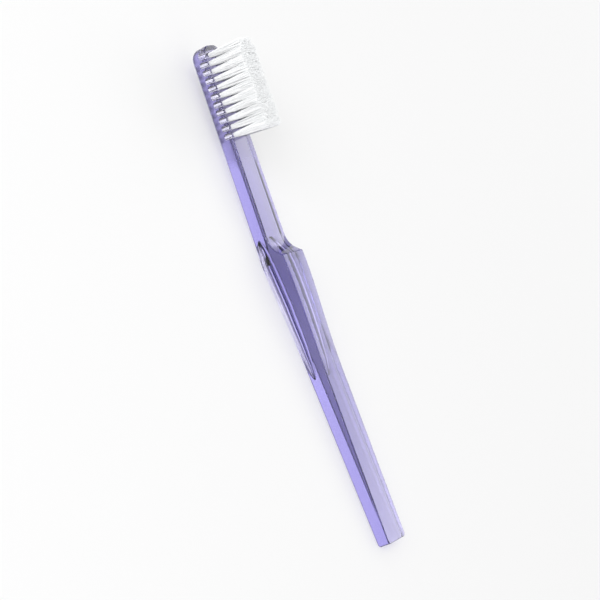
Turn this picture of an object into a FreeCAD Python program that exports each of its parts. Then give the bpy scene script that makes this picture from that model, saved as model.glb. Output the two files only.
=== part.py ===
import FreeCAD, Part

import math
import os

# A manual toothbrush: one clear moulded handle, whose head holds tufts of bristles. Each tuft is a bundle of
# filaments folded in two round a small metal anchor, which bites into the walls of its hole and keeps it.
#
# Millimetres. X runs from the nose of the head (-X) to the tail of the handle (+X), Y goes across, and Z is
# up, out of the bristle face. The brush lies on the flat back of its handle at Z = 0, with the origin under
# its middle.

Vector = FreeCAD.Vector

# Handle, lengthwise
overall_length = 168.0
bend_from_nose = 68.0
crest_from_nose = 71.4
ramp_length = 7.8
swell_length = 40.6
waist_from_crest = 33.6

# Handle, seen from the side
head_lift_angle = 4.0
bend_radius = 70.0
head_thickness = 4.95
crest_thickness = 8.7
crest_radius = 0.6
ramp_end_angle = 42.0
swell_end_thickness = 6.3
tail_thickness = 4.0
nose_round_length = 3.2
nose_round_rise = 1.3

# Handle, seen from above
head_width = 11.1
neck_end_width = 12.1
crest_width = 13.6
waist_width = 11.4
tail_width = 12.3
nose_corner_radius = 4.0
tail_corner_radius = 1.3
edge_radius = 0.4

# How quickly the handle's smooth steps turn, as shares of their length
ramp_lead_share = 0.62
ramp_trail_share = 0.2
swell_lead_share = 0.3
swell_trail_share = 0.35
flare_lead_share = 0.75
flare_trail_share = 0.1
waist_lead_share = 0.25
waist_trail_share = 0.4

# Thumb scoop in the back of the grip, from its deepest place
scoop_from_crest = 7.0
scoop_nose_length = 15.0
scoop_tail_length = 33.0
scoop_width = 10.9
scoop_depth = 2.2

# Tufts, their holes and their anchors
row_count = 11
tufts_per_row = 4
tufts_in_nose_row = 3
first_row_from_nose = 3.2
row_pitch = 2.66
column_pitch = 2.5
hole_diameter = 1.7
hole_depth = 3.2
bristle_length = 12.6
tuft_tip_diameter = 2.42
tuft_fit = 0.02
anchor_height = 1.5
anchor_thickness = 0.3
anchor_bite = 0.15
anchor_floor_gap = 0.3
anchor_turn_angle = 30.0

# How far cutting tools and trimming blocks run past what they cut
overrun = 2.0

# A face counts as an upright wall where its normal leans from level by less than this share of its length
wall_tilt_share = 1e-6

# Places along X
nose_x = -overall_length / 2
tail_x = overall_length / 2
bend_x = nose_x + bend_from_nose
crest_x = nose_x + crest_from_nose
ramp_x = crest_x - ramp_length
swell_end_x = crest_x + swell_length
waist_x = crest_x + waist_from_crest

lift = math.radians(head_lift_angle)


def line(start, end):
    return Part.LineSegment(start, end).toShape()


def smooth_step(start, lead, trail, end):
    """A curve from start to end that leaves towards lead and arrives from trail."""
    curve = Part.BezierCurve()
    curve.setPoles([start, lead, trail, end])
    return curve.toShape()


def corner_arc(start, corner, end):
    """The quarter turn from start to end that rounds off a square corner."""
    centre = start + end - corner
    radius = (start - centre).Length
    middle = centre + (corner - centre).normalize() * radius
    return Part.Arc(start, middle, end).toShape()


def tangent_arc(start, direction, end):
    """The arc that leaves start along direction and reaches end."""
    chord = end - start
    unit = Vector(direction).normalize()
    aside = chord - unit * chord.dot(unit)
    radius = chord.dot(chord) / (2 * aside.Length)
    centre = start + Vector(aside).normalize() * radius
    middle = centre + ((start + end) / 2 - centre).normalize() * radius
    return Part.Arc(start, middle, end).toShape()


def back_height(x):
    """Height of the back of the head and neck at x, where it rises straight from the bend."""
    return (bend_x - x) * math.tan(lift)


def face_height(x):
    """Height of the bristle face of the head and neck at x."""
    return back_height(x) + head_thickness / math.cos(lift)


def side_outline():
    """The handle seen from the side, in the XZ plane, running past the brush at both ends."""
    to_nose = Vector(-math.cos(lift), 0, math.sin(lift))
    bend_run = bend_radius * math.tan(lift / 2)
    tail_slope = (swell_end_thickness - tail_thickness) / (tail_x - swell_end_x)
    past_nose_x = nose_x - overrun
    past_tail_x = tail_x + overrun

    # Back, from the tail to the nose
    tail_back = Vector(past_tail_x, 0, 0)
    bend_start = Vector(bend_x + bend_run, 0, 0)
    bend_end = Vector(bend_x, 0, 0) + to_nose * bend_run
    round_x = nose_x + nose_round_length
    round_start = Vector(round_x, 0, back_height(round_x))
    round_end = Vector(nose_x, 0, back_height(nose_x) + nose_round_rise)
    rise = math.atan2(round_end.z - round_start.z, nose_round_length)
    nose_back = round_end + Vector(-overrun, 0, overrun * math.tan(2 * rise - lift))

    # Front, from the nose to the tail
    nose_face = Vector(past_nose_x, 0, face_height(past_nose_x))
    ramp_start = Vector(ramp_x, 0, face_height(ramp_x))
    crest = Vector(crest_x, 0, crest_thickness)
    swell_end = Vector(swell_end_x, 0, swell_end_thickness)
    tail_front = Vector(past_tail_x, 0, tail_thickness - overrun * tail_slope)
    ramp_lead_x = ramp_x + ramp_length * ramp_lead_share
    ramp_lead = Vector(ramp_lead_x, 0, face_height(ramp_lead_x))
    steep = math.radians(ramp_end_angle)
    ramp_end = crest - Vector(math.sin(steep), 0, 1 - math.cos(steep)) * crest_radius
    ramp_trail = ramp_end - Vector(math.cos(steep), 0, math.sin(steep)) * (ramp_length * ramp_trail_share)
    swell_lead = crest + Vector(swell_length * swell_lead_share, 0, 0)
    swell_trail = swell_end + Vector(-1, 0, tail_slope) * (swell_length * swell_trail_share)

    return Part.Face(Part.Wire([
        line(tail_back, bend_start),
        tangent_arc(bend_start, Vector(-1, 0, 0), bend_end),
        line(bend_end, round_start),
        tangent_arc(round_start, to_nose, round_end),
        line(round_end, nose_back),
        line(nose_back, nose_face),
        line(nose_face, ramp_start),
        smooth_step(ramp_start, ramp_lead, ramp_trail, ramp_end),
        tangent_arc(crest, Vector(-1, 0, 0), ramp_end),
        smooth_step(crest, swell_lead, swell_trail, swell_end),
        line(swell_end, tail_front),
        line(tail_front, tail_back),
    ]))


def mirrored_face(half):
    """The flat face between a chain of edges, which starts and ends on the X axis, and its mirror image."""
    mirror = [edge.mirror(Vector(0, 0, 0), Vector(0, 1, 0)) for edge in half]
    return Part.Face(Part.Wire(Part.__sortEdges__(half + mirror)))


def plan_outline():
    """The handle seen from above."""
    head_side = head_width / 2
    tail_side = tail_width / 2
    flare = crest_x - ramp_x
    narrowing = waist_x - crest_x
    nose_middle = Vector(nose_x, 0, 0)
    nose_turn = Vector(nose_x, head_side - nose_corner_radius, 0)
    head_start = Vector(nose_x + nose_corner_radius, head_side, 0)
    neck_end = Vector(ramp_x, neck_end_width / 2, 0)
    crest = Vector(crest_x, crest_width / 2, 0)
    waist = Vector(waist_x, waist_width / 2, 0)
    tail_start = Vector(tail_x - tail_corner_radius, tail_side, 0)
    tail_turn = Vector(tail_x, tail_side - tail_corner_radius, 0)
    tail_middle = Vector(tail_x, 0, 0)
    return mirrored_face([
        line(nose_middle, nose_turn),
        corner_arc(nose_turn, Vector(nose_x, head_side, 0), head_start),
        line(head_start, neck_end),
        smooth_step(
            neck_end,
            neck_end + Vector(flare * flare_lead_share, 0, 0),
            crest - Vector(flare * flare_trail_share, 0, 0),
            crest,
        ),
        smooth_step(
            crest,
            crest + Vector(narrowing * waist_lead_share, 0, 0),
            waist - Vector(narrowing * waist_trail_share, 0, 0),
            waist,
        ),
        line(waist, tail_start),
        corner_arc(tail_start, Vector(tail_x, tail_side, 0), tail_turn),
        line(tail_turn, tail_middle),
    ])


def outer_edges(blank):
    """The edges where the walls of the handle meet its front, its back and the ramp."""
    def is_wall(face):
        return abs(face.normalAt(*face.Surface.parameter(face.CenterOfMass)).z) < wall_tilt_share

    walls = [face for face in blank.Faces if is_wall(face)]
    tops = [face for face in blank.Faces if not is_wall(face)]
    chosen = []
    for edge in blank.Edges:
        on_wall = any(edge.isSame(other) for face in walls for other in face.Edges)
        on_top = any(edge.isSame(other) for face in tops for other in face.Edges)
        if on_wall and on_top:
            chosen.append(edge)
    return chosen


def with_flat_faces(solid):
    """The same solid, in which each face that is flat is a true plane."""
    faces = []
    for face in solid.Faces:
        plane = face.findPlane()
        faces.append(Part.Face(plane, face.Wires) if plane else face)
    shell = Part.Shell(faces)
    shell.sewShape()
    return Part.Solid(shell.Shells[0])


def handle_blank():
    """The handle without its scoop and its holes. Free-form faces let its edges round over well."""
    side = side_outline()
    side.translate(Vector(0, -crest_width, 0))
    plan = plan_outline()
    plan.translate(Vector(0, 0, -overrun))
    top = max(face_height(nose_x), crest_thickness) + overrun
    block = side.extrude(Vector(0, 2 * crest_width, 0)).common(plan.extrude(Vector(0, 0, top + overrun)))
    blank = block.removeSplitter().toNurbs().Solids[0]
    return with_flat_faces(blank.makeFillet(edge_radius, outer_edges(blank)).Solids[0])


def half_ellipsoid(length):
    """Half of an ellipsoid as wide and deep as the scoop, that reaches length along +X."""
    stretch = FreeCAD.Matrix()
    stretch.scale(length, scoop_width / 2, scoop_depth)
    ball = Part.makeSphere(1).transformGeometry(stretch)
    corner = Vector(0, -scoop_width, -scoop_depth - overrun)
    return ball.common(Part.makeBox(length + overrun, 2 * scoop_width, 2 * (scoop_depth + overrun), corner))


def thumb_scoop():
    """The hollow in the back of the grip: a long dish, blunter under the crest than towards the tail."""
    nose_half = half_ellipsoid(scoop_nose_length).mirror(Vector(0, 0, 0), Vector(1, 0, 0))
    dish = nose_half.fuse(half_ellipsoid(scoop_tail_length))
    dish.translate(Vector(crest_x + scoop_from_crest, 0, 0))
    return dish


def head_place(along, across, up):
    """Where a thing made upright at the origin goes: along from the nose, across, and up from the face."""
    tilt = FreeCAD.Rotation(Vector(0, 1, 0), head_lift_angle)
    nose = Vector(nose_x, 0, face_height(nose_x))
    return FreeCAD.Placement(nose + tilt.multVec(Vector(along, across, up)), tilt)


def tuft_places():
    """Rows of tufts from the nose back: for each row, its distance from the nose and its places across."""
    rows = []
    for row in range(row_count):
        count = tufts_in_nose_row if row == 0 else tufts_per_row
        across = [(index - (count - 1) / 2) * column_pitch for index in range(count)]
        rows.append((first_row_from_nose + row * row_pitch, across))
    return rows


def tuft_hole(along, across):
    hole = Part.makeCylinder(hole_diameter / 2, hole_depth + overrun)
    hole.Placement = head_place(along, across, -hole_depth)
    return hole


def anchor(along, across):
    """The metal plate that holds a tuft: it stands near the foot of the hole and bites into its walls."""
    width = hole_diameter + 2 * anchor_bite
    plate = Part.makeBox(
        width, anchor_thickness, anchor_height, Vector(-width / 2, -anchor_thickness / 2, 0)
    )
    plate.rotate(Vector(0, 0, 0), Vector(0, 0, 1), anchor_turn_angle)
    plate.Placement = head_place(along, across, anchor_floor_gap - hole_depth).multiply(plate.Placement)
    return plate


def tuft(along, across):
    """A bundle of bristles: a foot that fills its hole round the anchor, and a free end that spreads."""
    foot_radius = hole_diameter / 2 - tuft_fit
    tip_radius = tuft_tip_diameter / 2
    outline = Part.Face(Part.makePolygon([
        Vector(0, 0, -hole_depth),
        Vector(foot_radius, 0, -hole_depth),
        Vector(foot_radius, 0, 0),
        Vector(tip_radius, 0, bristle_length),
        Vector(0, 0, bristle_length),
        Vector(0, 0, -hole_depth),
    ]))
    bundle = outline.revolve(Vector(0, 0, 0), Vector(0, 0, 1), 360)
    bundle.Placement = head_place(along, across, 0)
    return bundle.cut(anchor(along, across)).Solids[0]


def handle():
    body = handle_blank().cut(thumb_scoop())
    for along, row in tuft_places():
        body = body.cut([tuft_hole(along, across) for across in row])
        body = body.cut([anchor(along, across) for across in row])
    return body.Solids[0]


def export(name, shape):
    shape.exportStep(os.path.join("parts", name + ".step"))


def build():
    os.makedirs("parts", exist_ok=True)
    export("handle", handle())
    for number, (along, row) in enumerate(tuft_places(), start=1):
        for letter, across in zip("abcd", row):
            export("tuft_%02d_%s" % (number, letter), tuft(along, across))
        export("anchors_row_%02d" % number, Part.makeCompound([anchor(along, across) for across in row]))


if __name__ == "__main__":
    build()
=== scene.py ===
import math

import bmesh
import bpy
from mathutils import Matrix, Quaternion, Vector


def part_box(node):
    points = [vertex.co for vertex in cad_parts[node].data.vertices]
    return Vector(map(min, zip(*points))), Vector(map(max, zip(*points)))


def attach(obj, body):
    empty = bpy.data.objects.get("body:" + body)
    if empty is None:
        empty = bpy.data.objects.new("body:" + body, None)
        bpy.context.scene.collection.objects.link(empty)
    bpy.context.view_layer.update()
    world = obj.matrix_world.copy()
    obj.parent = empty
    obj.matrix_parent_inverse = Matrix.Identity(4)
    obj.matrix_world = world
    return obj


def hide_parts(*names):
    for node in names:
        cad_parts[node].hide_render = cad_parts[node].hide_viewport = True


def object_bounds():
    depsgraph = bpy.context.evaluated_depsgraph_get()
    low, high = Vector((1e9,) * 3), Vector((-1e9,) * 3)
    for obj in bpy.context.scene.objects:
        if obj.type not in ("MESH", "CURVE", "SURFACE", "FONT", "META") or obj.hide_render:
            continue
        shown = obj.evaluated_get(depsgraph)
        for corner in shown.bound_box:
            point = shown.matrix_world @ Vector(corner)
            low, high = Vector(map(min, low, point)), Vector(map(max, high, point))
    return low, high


# A manual toothbrush: the looks of its clear moulded handle, its nylon tufts and the metal anchors that hold
# them. Metres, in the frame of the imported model: X from the head to the tail, Z up out of the bristle face.

MM = 0.001
WHITE = (1, 1, 1, 1)

# Tufts: where they stand, how they are bundled and how much light the nylon lets through
HEAD_LIFT = math.radians(4.0)
HOLE_DEPTH = 3.2 * MM
BRISTLE_LENGTH = 12.6 * MM
FOOT_RADIUS = 0.7 * MM
TIP_RADIUS = 1.6 * MM
FILAMENTS = 72
FILAMENT_RADIUS = 0.095 * MM
FILAMENT_SIDES = 5
FILAMENT_RINGS = 8
FILAMENT_JITTER = 0.07
TURN_JITTER = 0.3
GOLDEN_ANGLE = math.pi * (3 - math.sqrt(5))
SEED_STEP = 10
TRIM_SPREAD = 0.16 * MM
SPREAD_POWER = 0.7
LEAN = 0.3 * MM
LEAN_POWER = 1.8
TIP_FROM = 0.999
TIP_TAPER = 0.45
ANCHOR_TURN = math.radians(30)
ANCHOR_GAP = 0.22 * MM
NYLON_PASSES = 0.84

# Handle: the shading of its mesh, its plastic, and the satin finish on the back of its head
SMOOTH_ANGLE = math.radians(25)
MERGE_DISTANCE = 0.001 * MM
PLASTIC_IOR = 1.57
TINT = (0.15, 0.09, 0.53, 1)
TINT_DENSITY = 150
SHADOW_TINT = (0.93, 0.925, 0.965, 1)
FLOW_DEPTH = 0.2 * MM
BEND_AT = -16.0 * MM
SATIN_FULL_TO = -48.0 * MM
SATIN_ENDS_AT = -42.0 * MM
SATIN_HEIGHT = 0.3 * MM
SATIN_ROUGHNESS = 0.3

# Studio: its floor, the view and the sky
FLOOR_SIZE = 4.0
FLOOR_DROP = 0.3 * MM
FLOOR_COLOUR = (0.7, 0.7, 0.7, 1)
FLOOR_GLOW = 0.24
VIEW_CENTRE = Vector((1.89, 1.86, 3.46)) * MM
VIEW_HALF_WIDTH = 95.66 * MM
VIEW_AZIMUTH = math.radians(2.9)
VIEW_ELEVATION = math.radians(29.0)
VIEW_ROLL = math.radians(66.15)
LENS = 135
SENSOR = 36
SKY_DARK_BELOW = 0.08
SKY_BRIGHT_ABOVE = 0.4
SKY_HORIZON = 0.15
SKY_TOP = 0.57

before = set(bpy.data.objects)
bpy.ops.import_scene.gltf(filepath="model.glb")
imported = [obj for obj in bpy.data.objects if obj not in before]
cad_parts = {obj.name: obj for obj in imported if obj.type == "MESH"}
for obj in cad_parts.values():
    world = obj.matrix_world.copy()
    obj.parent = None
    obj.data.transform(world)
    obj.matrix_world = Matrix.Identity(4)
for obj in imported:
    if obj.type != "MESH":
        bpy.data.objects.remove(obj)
cad_low, cad_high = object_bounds()


# Materials


def new_material(name):
    material = bpy.data.materials.new(name)
    material.use_nodes = True
    return material, material.node_tree.nodes, material.node_tree.links


def noise(nodes, links, coordinates, scale, detail, stretch=(1, 1, 1)):
    """A noise pattern on the object's own coordinates, finer along an axis with a larger stretch."""
    mapping = nodes.new("ShaderNodeMapping")
    mapping.inputs["Scale"].default_value = stretch
    links.new(coordinates, mapping.inputs["Vector"])
    pattern = nodes.new("ShaderNodeTexNoise")
    pattern.inputs["Scale"].default_value = scale
    pattern.inputs["Detail"].default_value = detail
    links.new(mapping.outputs["Vector"], pattern.inputs["Vector"])
    return pattern.outputs["Fac"]


def between(nodes, links, factor, low, high):
    """A factor from 0 to 1 turned into a number from low to high."""
    spread = nodes.new("ShaderNodeMapRange")
    spread.inputs["To Min"].default_value = low
    spread.inputs["To Max"].default_value = high
    links.new(factor, spread.inputs["Value"])
    return spread.outputs["Result"]


def fade(nodes, links, place, direction, none, full):
    """A node that goes from 0 to its To Max along a direction, between two distances."""
    along = nodes.new("ShaderNodeVectorMath")
    along.operation = "DOT_PRODUCT"
    along.inputs[1].default_value = direction
    links.new(place, along.inputs[0])
    made = nodes.new("ShaderNodeMapRange")
    made.inputs["From Min"].default_value = none
    made.inputs["From Max"].default_value = full
    links.new(along.outputs["Value"], made.inputs["Value"])
    return made


def head_back(nodes, links, place, value):
    """A value on the back of the head, the side away from the bristles, and 0 elsewhere."""
    slope = math.tan(HEAD_LIFT)
    back = BEND_AT * slope
    low = fade(nodes, links, place, (slope, 0, 1), none=back + 2 * SATIN_HEIGHT, full=back + SATIN_HEIGHT)
    low.inputs["To Max"].default_value = value
    headward = fade(nodes, links, place, (1, 0, 0), none=SATIN_ENDS_AT, full=SATIN_FULL_TO)
    links.new(low.outputs["Result"], headward.inputs["To Max"])
    return headward.outputs["Result"]


def clear_violet_plastic():
    """Polished clear plastic, tinted through its depth, with faint flow and handling marks on its skin."""
    material, nodes, links = new_material("clear_violet_plastic")
    place = nodes.new("ShaderNodeTexCoord").outputs["Object"]
    skin = nodes["Principled BSDF"]
    skin.inputs["Base Color"].default_value = WHITE
    skin.inputs["Transmission Weight"].default_value = 1
    skin.inputs["IOR"].default_value = PLASTIC_IOR

    handling = noise(nodes, links, place, scale=220, detail=3)
    rough = nodes.new("ShaderNodeMath")
    links.new(between(nodes, links, handling, low=0.0, high=0.05), rough.inputs[0])
    links.new(head_back(nodes, links, place, SATIN_ROUGHNESS), rough.inputs[1])
    links.new(rough.outputs[0], skin.inputs["Roughness"])
    flow = noise(nodes, links, place, scale=60, detail=2, stretch=(0.25, 1, 1))
    bump = nodes.new("ShaderNodeBump")
    bump.inputs["Strength"].default_value = 0.03
    bump.inputs["Distance"].default_value = FLOW_DEPTH
    links.new(flow, bump.inputs["Height"])
    links.new(bump.outputs["Normal"], skin.inputs["Normal"])

    tint = nodes.new("ShaderNodeVolumeAbsorption")
    tint.inputs["Color"].default_value = TINT
    tint.inputs["Density"].default_value = TINT_DENSITY

    # Light that reaches the floor through the handle is only tinted, so that its shadow is pale
    shadow = nodes.new("ShaderNodeBsdfTransparent")
    shadow.inputs["Color"].default_value = SHADOW_TINT
    is_shadow = nodes.new("ShaderNodeLightPath").outputs["Is Shadow Ray"]
    either = nodes.new("ShaderNodeMixShader")
    links.new(is_shadow, either.inputs[0])
    links.new(skin.outputs["BSDF"], either.inputs[1])
    links.new(shadow.outputs["BSDF"], either.inputs[2])

    output = nodes["Material Output"]
    links.new(either.outputs["Shader"], output.inputs["Surface"])
    links.new(tint.outputs["Volume"], output.inputs["Volume"])
    return material


def white_nylon():
    """White filaments that let some light through, a little uneven in tone along and between them."""
    material, nodes, links = new_material("white_nylon")
    place = nodes.new("ShaderNodeTexCoord").outputs["Object"]
    fibre = nodes["Principled BSDF"]
    shade = nodes.new("ShaderNodeValToRGB")
    shade.color_ramp.elements[0].color = (0.93, 0.94, 0.945, 1)
    shade.color_ramp.elements[1].color = (0.98, 0.985, 0.99, 1)
    tone = noise(nodes, links, place, scale=900, detail=2, stretch=(1, 1, 0.2))
    links.new(tone, shade.inputs["Fac"])
    links.new(shade.outputs["Color"], fibre.inputs["Base Color"])
    gloss = noise(nodes, links, place, scale=3000, detail=1)
    links.new(between(nodes, links, gloss, low=0.35, high=0.55), fibre.inputs["Roughness"])

    # Part of the light passes through each filament to those behind it
    is_shadow = nodes.new("ShaderNodeLightPath").outputs["Is Shadow Ray"]
    either = nodes.new("ShaderNodeMixShader")
    links.new(between(nodes, links, is_shadow, low=0, high=NYLON_PASSES), either.inputs[0])
    links.new(fibre.outputs["BSDF"], either.inputs[1])
    links.new(nodes.new("ShaderNodeBsdfTransparent").outputs["BSDF"], either.inputs[2])
    links.new(either.outputs["Shader"], nodes["Material Output"].inputs["Surface"])
    return material


def rolled_nickel_silver():
    """Thin rolled strip, with fine rolling lines that are duller where they are darker."""
    material, nodes, links = new_material("rolled_nickel_silver")
    place = nodes.new("ShaderNodeTexCoord").outputs["Object"]
    strip = nodes["Principled BSDF"]
    strip.inputs["Metallic"].default_value = 1
    shade = nodes.new("ShaderNodeValToRGB")
    shade.color_ramp.elements[0].color = (0.62, 0.60, 0.55, 1)
    shade.color_ramp.elements[1].color = (0.80, 0.78, 0.73, 1)
    rolling = noise(nodes, links, place, scale=2500, detail=2, stretch=(0.2, 0.2, 1))
    links.new(rolling, shade.inputs["Fac"])
    links.new(shade.outputs["Color"], strip.inputs["Base Color"])
    links.new(between(nodes, links, rolling, low=0.22, high=0.42), strip.inputs["Roughness"])
    return material


def pale_paper():
    """The studio's plain floor, with a little light of its own, so that shadows on it stay pale."""
    material, nodes, _ = new_material("pale_paper")
    paper = nodes["Principled BSDF"]
    paper.inputs["Base Color"].default_value = FLOOR_COLOUR
    paper.inputs["Emission Color"].default_value = WHITE
    paper.inputs["Emission Strength"].default_value = FLOOR_GLOW
    paper.inputs["Specular IOR Level"].default_value = 0
    return material


# Handle


def smooth_copy(node, name):
    """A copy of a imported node's mesh with its triangles joined, shaded smooth up to its real edges."""
    mesh = node.data.copy()
    mesh.name = name
    shell = bmesh.new()
    shell.from_mesh(mesh)
    bmesh.ops.remove_doubles(shell, verts=shell.verts, dist=MERGE_DISTANCE)
    for face in shell.faces:
        face.smooth = True
    for edge in shell.edges:
        edge.smooth = len(edge.link_faces) == 2 and edge.calc_face_angle() < SMOOTH_ANGLE
    shell.to_mesh(mesh)
    shell.free()
    if "custom_normal" in mesh.attributes:
        mesh.attributes.remove(mesh.attributes["custom_normal"])
    mesh.materials.clear()
    piece = bpy.data.objects.new(name, mesh)
    bpy.context.scene.collection.objects.link(piece)
    return piece


def clear_handle():
    piece = smooth_copy(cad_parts["handle"], "clear_handle")
    piece.data.materials.append(clear_violet_plastic())
    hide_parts("handle")
    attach(piece, "root")


# Tufts


class Tree:
    """A geometry node tree that is written as nested calls."""

    def __init__(self, name):
        self.tree = bpy.data.node_groups.new(name, "GeometryNodeTree")
        self.tree.interface.new_socket("Geometry", in_out="OUTPUT", socket_type="NodeSocketGeometry")
        self.inputs = self.tree.nodes.new("NodeGroupInput")
        self.identifiers = {}

    def input(self, name, kind):
        socket = self.tree.interface.new_socket(name, in_out="INPUT", socket_type=kind)
        self.identifiers[name] = socket.identifier
        return self.inputs.outputs[name]

    def node(self, kind, links=(), **settings):
        """A new node: settings are its properties, and links its inputs, which are sockets or values."""
        made = self.tree.nodes.new(kind)
        for name, value in settings.items():
            setattr(made, name, value)
        for place, value in dict(links).items():
            if isinstance(value, bpy.types.NodeSocket):
                self.tree.links.new(value, made.inputs[place])
            else:
                made.inputs[place].default_value = value
        return made

    def math(self, operation, *values):
        return self.node("ShaderNodeMath", dict(enumerate(values)), operation=operation).outputs[0]

    def vector(self, x, y, z):
        return self.node("ShaderNodeCombineXYZ", {0: x, 1: y, 2: z}).outputs[0]

    def random(self, low, high, part, seed):
        """A number from low to high for each part, the same on each run."""
        chance = self.node("FunctionNodeRandomValue", {"ID": part, "Seed": seed}, data_type="FLOAT")
        chance.inputs[2].default_value = low
        chance.inputs[3].default_value = high
        return chance.outputs[1]

    def stored(self, name, kind):
        return self.node("GeometryNodeInputNamedAttribute", {"Name": name}, data_type=kind).outputs[0]

    def finish(self, geometry):
        end = self.node("NodeGroupOutput")
        self.tree.links.new(geometry, end.inputs[0])


def tuft_tree(nylon):
    """A bundle of filaments: upright in its hole on both sides of the anchor, then spreading to its trim."""
    tree = Tree("Tuft of filaments")
    count = tree.input("Filaments", "NodeSocketInt")
    seed = tree.input("Seed", "NodeSocketInt")
    depth = tree.input("Hole Depth", "NodeSocketFloat")
    length = tree.input("Bristle Length", "NodeSocketFloat")
    foot_radius = tree.input("Foot Radius", "NodeSocketFloat")
    tip_radius = tree.input("Tip Radius", "NodeSocketFloat")
    thickness = tree.input("Filament Radius", "NodeSocketFloat")
    trim = tree.input("Trim Spread", "NodeSocketFloat")
    lean = tree.input("Lean", "NodeSocketFloat")
    gap = tree.input("Anchor Gap", "NodeSocketFloat")
    turn = tree.input("Anchor Turn", "NodeSocketFloat")
    foot = tree.input("Foot", "NodeSocketVector")
    tilt = tree.input("Tilt", "NodeSocketVector")

    # Places of the filaments in a disc of radius 1, on a sunflower spiral with some jitter
    points = tree.node("GeometryNodePoints", {"Count": count}).outputs[0]
    index = tree.node("GeometryNodeInputIndex").outputs[0]
    out = tree.math("SQRT", tree.math("DIVIDE", tree.math("ADD", index, 0.5), count))
    out = tree.math("MULTIPLY", out, tree.random(1 - FILAMENT_JITTER, 1.0, index, seed))
    jitter = tree.random(-TURN_JITTER, TURN_JITTER, index, seed)
    around = tree.math("MULTIPLY_ADD", index, GOLDEN_ANGLE, jitter)
    disc = tree.vector(tree.math("MULTIPLY", out, tree.math("COSINE", around)),
                       tree.math("MULTIPLY", out, tree.math("SINE", around)), 0)
    for name, kind, value in (("disc", "FLOAT_VECTOR", disc), ("filament", "INT", index)):
        kept = {"Geometry": points, "Name": name, "Value": value}
        store = tree.node("GeometryNodeStoreNamedAttribute", kept, data_type=kind, domain="POINT")
        points = store.outputs[0]

    # One straight filament, divided so that it can bend, at each place
    straight = tree.node("GeometryNodeCurvePrimitiveLine", {"End": (0, 0, 1)}).outputs[0]
    divided = {"Curve": straight, "Count": FILAMENT_RINGS}
    straight = tree.node("GeometryNodeResampleCurve", divided).outputs[0]
    bundle = tree.node("GeometryNodeInstanceOnPoints", {"Points": points, "Instance": straight}).outputs[0]
    bundle = tree.node("GeometryNodeRealizeInstances", {"Geometry": bundle}).outputs[0]

    disc = tree.stored("disc", "FLOAT_VECTOR")
    filament = tree.stored("filament", "INT")
    along = tree.node("GeometryNodeSplineParameter").outputs["Factor"]

    # Height along the filament, from the foot of the hole to a top that is not quite level
    shorter = tree.random(-1.0, 0.0, filament, tree.math("ADD", seed, 1))
    top = tree.math("MULTIPLY_ADD", shorter, trim, length)
    height = tree.math("SUBTRACT", tree.math("MULTIPLY", along, tree.math("ADD", depth, top)), depth)
    free = tree.math("MAXIMUM", tree.math("DIVIDE", height, length), 0)

    # The bundle spreads as it rises, and each filament leans a little its own way
    spread = tree.math("SUBTRACT", tip_radius, foot_radius)
    radius = tree.math("MULTIPLY_ADD", tree.math("POWER", free, SPREAD_POWER), spread, foot_radius)
    bend = tree.math("MULTIPLY", tree.math("POWER", free, LEAN_POWER), lean)
    part = tree.node("ShaderNodeSeparateXYZ", {0: disc})
    x = tree.math("MULTIPLY", part.outputs[0], radius)
    y = tree.math("MULTIPLY", part.outputs[1], radius)
    x = tree.math("MULTIPLY_ADD", bend, tree.random(-1.0, 1.0, filament, tree.math("ADD", seed, 2)), x)
    y = tree.math("MULTIPLY_ADD", bend, tree.random(-1.0, 1.0, filament, tree.math("ADD", seed, 3)), y)

    # In the hole the filaments part to the two sides of the anchor
    inside = tree.math("MULTIPLY", tree.math("LESS_THAN", height, 0), gap)
    sideways = tree.math("SUBTRACT", tree.math("MULTIPLY", part.outputs[1], tree.math("COSINE", turn)),
                         tree.math("MULTIPLY", part.outputs[0], tree.math("SINE", turn)))
    push = tree.math("MULTIPLY", inside, tree.math("SIGN", sideways))
    push = tree.math("MULTIPLY", push, tree.math("SUBTRACT", 1, tree.math("ABSOLUTE", sideways)))
    x = tree.math("SUBTRACT", x, tree.math("MULTIPLY", push, tree.math("SINE", turn)))
    y = tree.math("ADD", y, tree.math("MULTIPLY", push, tree.math("COSINE", turn)))
    moved = {"Geometry": bundle, "Position": tree.vector(x, y, height)}
    bundle = tree.node("GeometryNodeSetPosition", moved).outputs[0]

    # Round filaments with narrowed ends
    circle = {"Resolution": FILAMENT_SIDES, "Radius": thickness}
    ring = tree.node("GeometryNodeCurvePrimitiveCircle", circle).outputs[0]
    at_tip = tree.math("GREATER_THAN", along, TIP_FROM)
    taper = tree.math("SUBTRACT", 1, tree.math("MULTIPLY", TIP_TAPER, at_tip))
    bundle = tree.node("GeometryNodeSetCurveRadius", {"Curve": bundle, "Radius": taper}).outputs[0]
    swept = {"Curve": bundle, "Profile Curve": ring, "Fill Caps": True}
    mesh = tree.node("GeometryNodeCurveToMesh", swept).outputs[0]
    placed = {"Geometry": mesh, "Translation": foot, "Rotation": tilt}
    mesh = tree.node("GeometryNodeTransform", placed).outputs[0]
    mesh = tree.node("GeometryNodeSetShadeSmooth", {"Geometry": mesh}).outputs[0]
    mesh = tree.node("GeometryNodeRealizeInstances", {"Geometry": mesh}).outputs[0]
    mesh = tree.node("GeometryNodeSetMaterial", {"Geometry": mesh, "Material": nylon}).outputs[0]
    tree.finish(mesh)
    return tree


def tuft_foot(node):
    """The place where a tuft leaves the bristle face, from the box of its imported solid."""
    low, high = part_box(node)
    middle = (Vector(low) + Vector(high)) / 2
    upright = Vector((math.sin(HEAD_LIFT), 0, math.cos(HEAD_LIFT)))
    return middle - upright * (BRISTLE_LENGTH - HOLE_DEPTH) / 2


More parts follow.
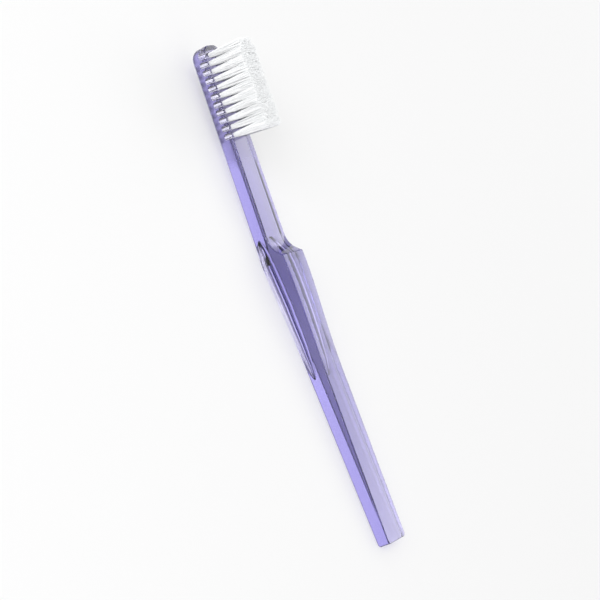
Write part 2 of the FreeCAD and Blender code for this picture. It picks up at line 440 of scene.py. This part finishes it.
def tuft(tree, node, seed):
    """The filaments of one tuft, as a plain mesh."""
    name = node.replace("tuft", "bristles")
    grower = bpy.data.objects.new(name, bpy.data.meshes.new(name))
    bpy.context.scene.collection.objects.link(grower)
    modifier = grower.modifiers.new("Tuft", "NODES")
    modifier.node_group = tree.tree
    values = {
        "Filaments": FILAMENTS,
        "Seed": seed,
        "Hole Depth": HOLE_DEPTH,
        "Bristle Length": BRISTLE_LENGTH,
        "Foot Radius": FOOT_RADIUS,
        "Tip Radius": TIP_RADIUS,
        "Filament Radius": FILAMENT_RADIUS,
        "Trim Spread": TRIM_SPREAD,
        "Lean": LEAN,
        "Anchor Gap": ANCHOR_GAP,
        "Anchor Turn": ANCHOR_TURN,
        "Foot": tuft_foot(node),
        "Tilt": (0, HEAD_LIFT, 0),
    }
    for label, value in values.items():
        modifier[tree.identifiers[label]] = value
    grown = bpy.data.meshes.new_from_object(grower.evaluated_get(bpy.context.evaluated_depsgraph_get()))
    grower.modifiers.remove(modifier)
    grower.data = grown
    grown.name = name
    for attribute in ("disc", "filament"):
        if attribute in grown.attributes:
            grown.attributes.remove(grown.attributes[attribute])
    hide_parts(node)
    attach(grower, "root")


def tufts():
    tree = tuft_tree(white_nylon())
    for seed, node in enumerate(sorted(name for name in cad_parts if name.startswith("tuft"))):
        tuft(tree, node, seed * SEED_STEP)


# Anchors


def anchors():
    metal = rolled_nickel_silver()
    for name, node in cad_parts.items():
        if name.startswith("anchors"):
            node.data.materials.clear()
            node.data.materials.append(metal)


# Studio


def studio_floor():
    bpy.ops.mesh.primitive_plane_add(size=FLOOR_SIZE, location=(0, 0, cad_low[2] - FLOOR_DROP))
    floor = bpy.context.object
    floor.name = "studio_floor"
    floor.data.materials.append(pale_paper())


def soft_light(name, place, width, height, radiance):
    """A softbox aimed at the brush, with the brightness of its face."""
    lamp = bpy.data.lights.new(name, "AREA")
    lamp.shape = "RECTANGLE"
    lamp.size = width
    lamp.size_y = height
    lamp.energy = radiance * math.pi * width * height
    light = bpy.data.objects.new(name, lamp)
    bpy.context.scene.collection.objects.link(light)
    light.location = place
    light.rotation_euler = (-Vector(place)).to_track_quat("-Z", "Y").to_euler()


def studio_light():
    scene = bpy.context.scene
    scene.view_settings.view_transform = "Standard"
    scene.world = bpy.data.worlds.new("studio")
    scene.world.use_nodes = True
    nodes = scene.world.node_tree.nodes
    links = scene.world.node_tree.links

    # The sky is darker near the horizon, which draws the edges of the clear plastic
    direction = nodes.new("ShaderNodeSeparateXYZ")
    links.new(nodes.new("ShaderNodeTexCoord").outputs["Generated"], direction.inputs[0])
    height = nodes.new("ShaderNodeMapRange")
    height.interpolation_type = "SMOOTHSTEP"
    height.inputs["From Min"].default_value = SKY_DARK_BELOW
    height.inputs["From Max"].default_value = SKY_BRIGHT_ABOVE
    height.inputs["To Min"].default_value = SKY_HORIZON
    height.inputs["To Max"].default_value = SKY_TOP
    links.new(direction.outputs["Z"], height.inputs["Value"])
    nodes["Background"].inputs["Color"].default_value = WHITE
    links.new(height.outputs["Result"], nodes["Background"].inputs["Strength"])

    soft_light("key_light", place=(-0.6, -1.0, 1.5), width=0.8, height=0.8, radiance=5.0)
    soft_light("back_light", place=(0, 1.2, 0.72), width=1.4, height=0.7, radiance=1.6)
    soft_light("front_light", place=(-0.5, -1.7, 0.78), width=1.25, height=0.78, radiance=5.5)


def camera():
    lens = bpy.data.cameras.new("camera")
    lens.lens = LENS
    lens.sensor_width = SENSOR
    lens.clip_end = FLOOR_SIZE
    eye = bpy.data.objects.new("camera", lens)
    bpy.context.scene.collection.objects.link(eye)
    distance = VIEW_HALF_WIDTH * LENS / (SENSOR / 2)
    flat = distance * math.cos(VIEW_ELEVATION)
    aside = flat * math.sin(VIEW_AZIMUTH)
    rise = distance * math.sin(VIEW_ELEVATION)
    eye.location = VIEW_CENTRE + Vector((aside, -flat * math.cos(VIEW_AZIMUTH), rise))
    level = (VIEW_CENTRE - eye.location).to_track_quat("-Z", "Y")
    eye.rotation_euler = (level @ Quaternion((0, 0, 1), VIEW_ROLL)).to_euler()
    bpy.context.scene.camera = eye


clear_handle()
tufts()
anchors()
studio_floor()
studio_light()
camera()
